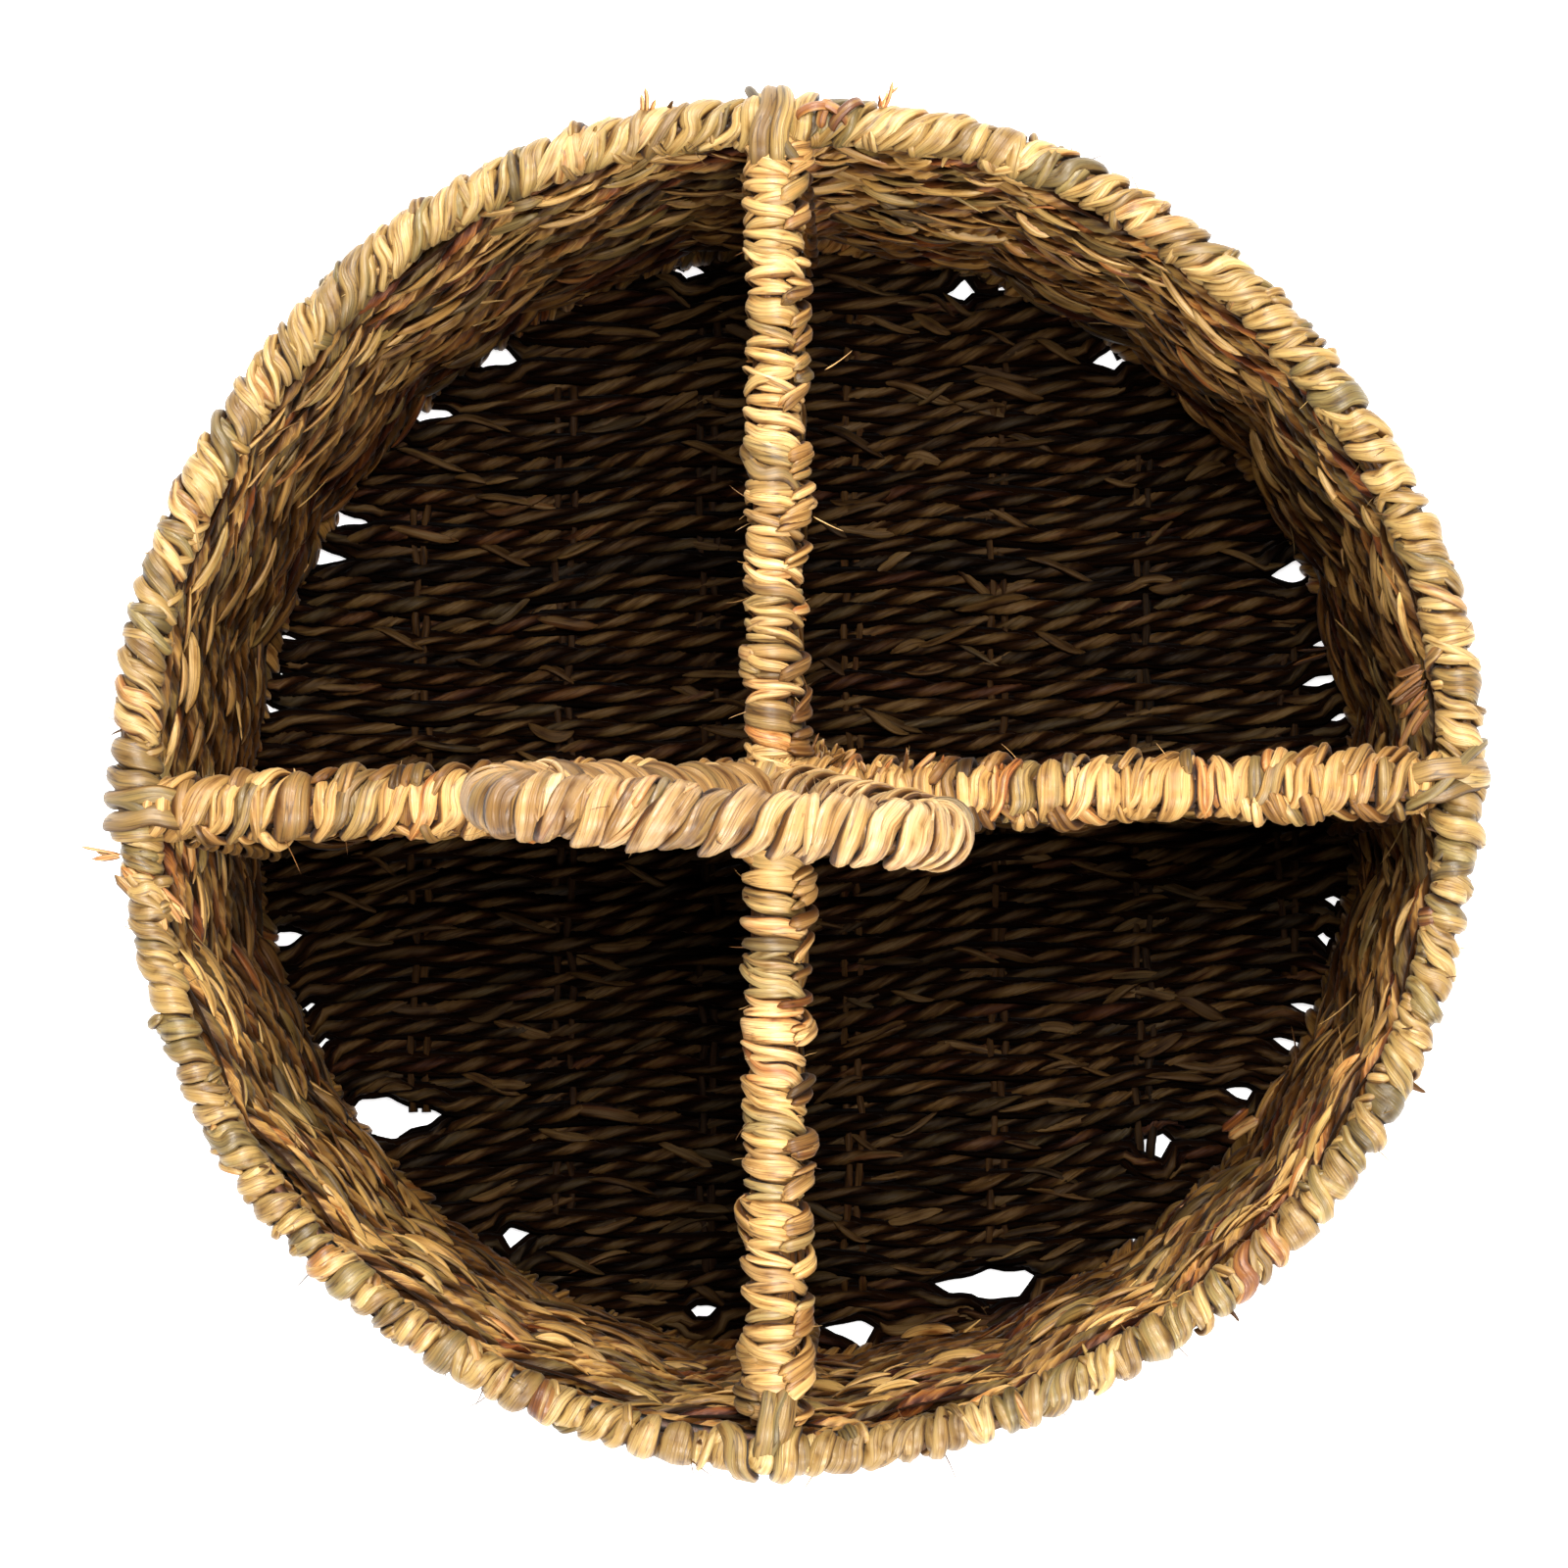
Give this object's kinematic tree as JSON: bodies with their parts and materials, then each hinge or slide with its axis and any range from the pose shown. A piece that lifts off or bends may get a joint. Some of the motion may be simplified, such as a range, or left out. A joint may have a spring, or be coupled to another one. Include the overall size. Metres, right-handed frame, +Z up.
{
  "type": "divided seagrass storage basket",
  "caption": "Round hand-woven seagrass storage basket, divided by a woven cross into compartments, with a bound rim and an upright bound handle at the crossing.",
  "frame": {"origin": "centre of the basket on the floor it stands on, under the middle of the rim", "axes": "+Z up; +X along the long divider, to the right as the basket is seen from above; +Y away from the viewer of that view, along the other divider"},
  "size_m": [0.3594, 0.3594, 0.305],
  "materials": {
    "frame_wire": "matte",
    "rim_seagrass": "satin, bound flat leaves",
    "bar_seagrass": "satin, bound flat leaves",
    "handle_seagrass": "satin, bound flat leaves, palest",
    "wall_seagrass": "semi-matte, twisted two-ply rows",
    "floor_seagrass": "semi-matte, twisted two-ply rows",
    "stake_seagrass": "semi-matte, twisted cords"
  },
  "bodies": {
    "root": {"rim_wire": "frame_wire", "rim_binding": "rim_seagrass", "foot_wire": "frame_wire", "foot_binding": "wall_seagrass", "wall_stakes": "stake_seagrass", "wall_weave": "wall_seagrass", "floor_stakes": "stake_seagrass", "floor_weave": "floor_seagrass", "divider_wire_x": "frame_wire", "divider_wire_y": "frame_wire", "centre_post": "frame_wire", "divider_stakes_x": "stake_seagrass", "divider_stakes_y": "stake_seagrass", "divider_panel_left": "wall_seagrass", "divider_panel_right": "wall_seagrass", "divider_panel_near": "wall_seagrass", "divider_panel_far": "wall_seagrass", "divider_binding_left": "bar_seagrass", "divider_binding_right": "bar_seagrass", "divider_binding_near": "bar_seagrass", "divider_binding_far": "bar_seagrass", "divider_lacings": "wall_seagrass", "centre_knot": "bar_seagrass", "handle_wire": "frame_wire", "handle_binding": "handle_seagrass", "rim_lashings": "rim_seagrass"}
  },
  "joints": []
}
